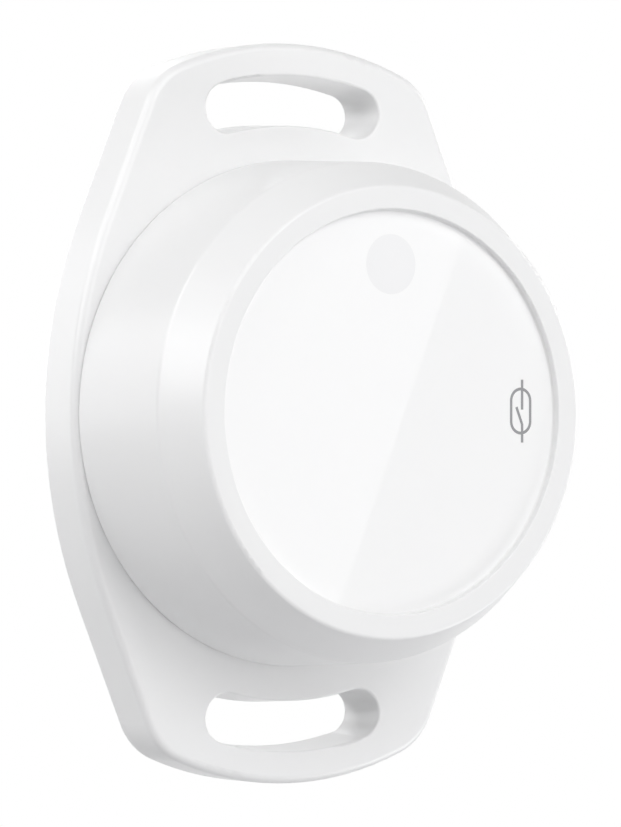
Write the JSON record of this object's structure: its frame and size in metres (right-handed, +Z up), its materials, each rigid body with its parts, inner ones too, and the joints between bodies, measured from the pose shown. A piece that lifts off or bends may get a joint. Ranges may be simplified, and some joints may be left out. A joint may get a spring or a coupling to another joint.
{
  "type": "multisensor",
  "caption": "Wall-mounted multisensor: round stepped cover with sunk front label on a base plate with two slotted ears, with board, cell and reed switch inside.",
  "frame": {"origin": "centre of the flat wall face at the back of the base plate", "axes": "+Z up the wall along the line of the two ears, +Y into the wall, front label faces -Y, +X to the right of someone who faces the sensor"},
  "size_m": [0.05, 0.0228, 0.072],
  "materials": {
    "housing": "satin",
    "label_film": "gloss",
    "window": "gloss",
    "clear_guide": "gloss",
    "brass": "satin",
    "seal": "matte",
    "membrane": "matte",
    "screw_steel": "satin",
    "board": "satin",
    "cell_can": "satin",
    "cell_sleeve": "gloss",
    "pad": "matte",
    "nickel": "satin",
    "switch_glass": "polished",
    "lead_metal": "satin",
    "module_board": "satin",
    "tinned_can": "satin",
    "antenna_ceramic": "matte",
    "chip_black": "matte",
    "sensor_package": "satin",
    "led_resin": "gloss",
    "tantalum_resin": "satin",
    "capacitor_ceramic": "satin",
    "resistor_glaze": "gloss"
  },
  "bodies": {
    "base": {"mounting_base": "housing", "seal_ring": "seal", "vent_membrane": "membrane", "cover_screws": "screw_steel", "board_screws": "screw_steel", "circuit_board": "board", "battery_cell": "cell_can", "battery_sleeve": "cell_sleeve", "battery_pad": "pad", "battery_tab_positive": "nickel", "battery_tab_negative": "nickel", "reed_glass": "switch_glass", "reed_leads": "lead_metal", "radio_module_board": "module_board", "radio_shield_can": "tinned_can", "chip_antenna": "antenna_ceramic", "climate_sensor": "chip_black", "light_sensor": "sensor_package", "status_led": "led_resin", "accelerometer": "chip_black", "tantalum_capacitor": "tantalum_resin", "crystal_can": "tinned_can", "chip_capacitors": "capacitor_ceramic", "chip_resistors": "resistor_glaze"},
    "cover": {"cover": "housing", "front_label": "label_film", "window_lens": "window", "light_pipe": "clear_guide", "cover_inserts": "brass"},
    "reed_lower": {"reed_blade_lower": "lead_metal"},
    "reed_upper": {"reed_blade_upper": "lead_metal"}
  },
  "joints": [
    {"name": "cover_lift", "type": "slide", "parent": "base", "child": "cover", "axis": [0, -1, 0], "range_m": [0, 0.04]},
    {"name": "reed_lower_flex", "type": "hinge", "parent": "base", "child": "reed_lower", "pos_m": [0.017, -0.00565, -0.0041], "axis": [1, 0, 0], "range_deg": [0, 0.8], "stiffness_Nm_per_rad": 0.0015},
    {"name": "reed_upper_flex", "type": "hinge", "parent": "base", "child": "reed_upper", "pos_m": [0.017, -0.00605, 0.0041], "axis": [1, 0, 0], "range_deg": [0, 0.8], "stiffness_Nm_per_rad": 0.0015}
  ],
  "couplings": [
    {"joint": "reed_upper_flex", "follows": "reed_lower_flex", "ratio": 1}
  ]
}
